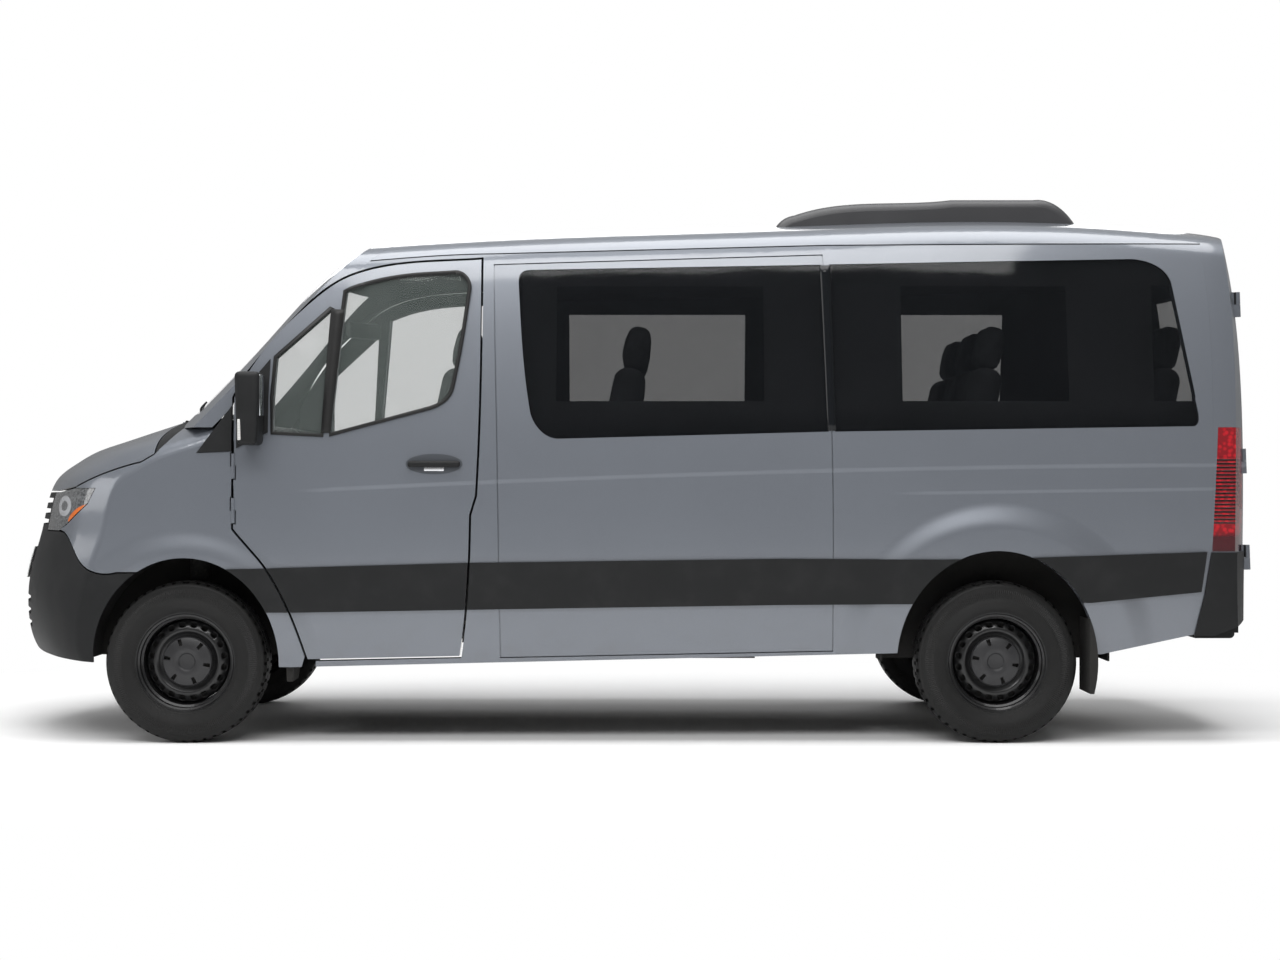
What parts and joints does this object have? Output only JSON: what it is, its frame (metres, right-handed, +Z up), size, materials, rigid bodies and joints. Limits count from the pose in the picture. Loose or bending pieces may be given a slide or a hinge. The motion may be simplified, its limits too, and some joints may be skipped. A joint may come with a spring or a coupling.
{
  "type": "minibus",
  "caption": "High-roof van-based minibus with hinged front and rear doors, opening bonnet, steered front wheels and turning road wheels.",
  "frame": {"origin": "on the ground under the centre of the whole vehicle", "axes": "+X towards the rear, +Y to the vehicle's right, +Z up"},
  "size_m": [5.8444, 2.344, 2.5225],
  "materials": {
    "paint": "gloss",
    "clear_glass": "gloss",
    "privacy_glass": "gloss",
    "lamp_clear": "gloss",
    "lamp_red": "gloss",
    "black_plastic": "matte",
    "liner_plastic": "matte",
    "chassis_steel": "satin",
    "engine_iron": "rough",
    "radiator_aluminium": "satin",
    "exhaust_steel": "satin",
    "tyre": "matte",
    "wheel_steel": "satin",
    "seat_fabric": "woven",
    "soft_plastic": "soft"
  },
  "bodies": {
    "shell": {"body_sides": "paint", "centre_panel": "paint", "sliding_door": "paint", "roof": "paint", "windscreen_frame": "paint", "rear_frame": "paint", "front_wings": "paint", "windscreen": "clear_glass", "side_glass": "privacy_glass", "headlamps": "lamp_clear", "tail_lamps": "lamp_red", "roof_unit": "black_plastic", "front_bumper": "black_plastic", "rear_bumper": "black_plastic", "grille": "black_plastic", "cowl": "black_plastic", "body_bands": "black_plastic", "dashboard": "black_plastic", "arch_liners": "liner_plastic", "mud_flaps": "liner_plastic", "floor": "chassis_steel", "bulkhead": "chassis_steel", "front_subframe": "chassis_steel", "rear_axle": "chassis_steel", "driveline": "chassis_steel", "fuel_tank": "chassis_steel", "engine": "engine_iron", "radiator": "radiator_aluminium", "exhaust": "exhaust_steel", "front_seats": "seat_fabric", "passenger_benches": "seat_fabric", "steering_wheel": "soft_plastic"},
    "door_left": {"door_left": "paint", "door_glass_left": "clear_glass", "door_trim_left": "black_plastic"},
    "door_right": {"door_right": "paint", "door_glass_right": "clear_glass", "door_trim_right": "black_plastic"},
    "rear_door_left": {"rear_door_left": "paint", "rear_glass_left": "privacy_glass"},
    "rear_door_right": {"rear_door_right": "paint", "rear_glass_right": "privacy_glass"},
    "bonnet": {"bonnet": "paint"},
    "knuckle_left": {"knuckle_left": "chassis_steel"},
    "knuckle_right": {"knuckle_right": "chassis_steel"},
    "wheel_front_left": {"tyre_front_left": "tyre", "rim_front_left": "wheel_steel"},
    "wheel_front_right": {"tyre_front_right": "tyre", "rim_front_right": "wheel_steel"},
    "wheel_rear_left": {"tyre_rear_left": "tyre", "rim_rear_left": "wheel_steel"},
    "wheel_rear_right": {"tyre_rear_right": "tyre", "rim_rear_right": "wheel_steel"}
  },
  "joints": [
    {"name": "door_left_swing", "type": "hinge", "parent": "shell", "child": "door_left", "pos_m": [-1.75112, -1.012, 0.97032], "axis": [0, -0.04, -0.9992], "range_deg": [0, 65]},
    {"name": "door_right_swing", "type": "hinge", "parent": "shell", "child": "door_right", "pos_m": [-1.75112, 1.012, 0.97032], "axis": [0, -0.04, 0.9992], "range_deg": [0, 65]},
    {"name": "rear_door_left_swing", "type": "hinge", "parent": "shell", "child": "rear_door_left", "pos_m": [2.856, -0.845, 0.7], "axis": [0.0386, 0, -0.9993], "range_deg": [0, 180]},
    {"name": "rear_door_right_swing", "type": "hinge", "parent": "shell", "child": "rear_door_right", "pos_m": [2.856, 0.845, 0.7], "axis": [-0.0386, 0, 0.9993], "range_deg": [0, 180]},
    {"name": "bonnet_lift", "type": "hinge", "parent": "shell", "child": "bonnet", "pos_m": [-2.10438, 0, 1.46871], "axis": [0, 1, 0], "range_deg": [0, 60]},
    {"name": "steer_left", "type": "hinge", "parent": "shell", "child": "knuckle_left", "pos_m": [-1.975, -0.759, 0.366], "axis": [0, 0, 1], "range_deg": [-38, 38]},
    {"name": "steer_right", "type": "hinge", "parent": "shell", "child": "knuckle_right", "pos_m": [-1.975, 0.759, 0.366], "axis": [0, 0, 1], "range_deg": [-38, 38]},
    {"name": "wheel_front_left_spin", "type": "hinge", "parent": "knuckle_left", "child": "wheel_front_left", "pos_m": [-1.975, -0.862, 0.366], "axis": [0, 1, 0], "continuous": true},
    {"name": "wheel_front_right_spin", "type": "hinge", "parent": "knuckle_right", "child": "wheel_front_right", "pos_m": [-1.975, 0.862, 0.366], "axis": [0, 1, 0], "continuous": true},
    {"name": "wheel_rear_left_spin", "type": "hinge", "parent": "shell", "child": "wheel_rear_left", "pos_m": [1.69, -0.862, 0.366], "axis": [0, 1, 0], "continuous": true},
    {"name": "wheel_rear_right_spin", "type": "hinge", "parent": "shell", "child": "wheel_rear_right", "pos_m": [1.69, 0.862, 0.366], "axis": [0, 1, 0], "continuous": true}
  ],
  "couplings": [
    {"joint": "steer_right", "follows": "steer_left", "ratio": 1}
  ]
}
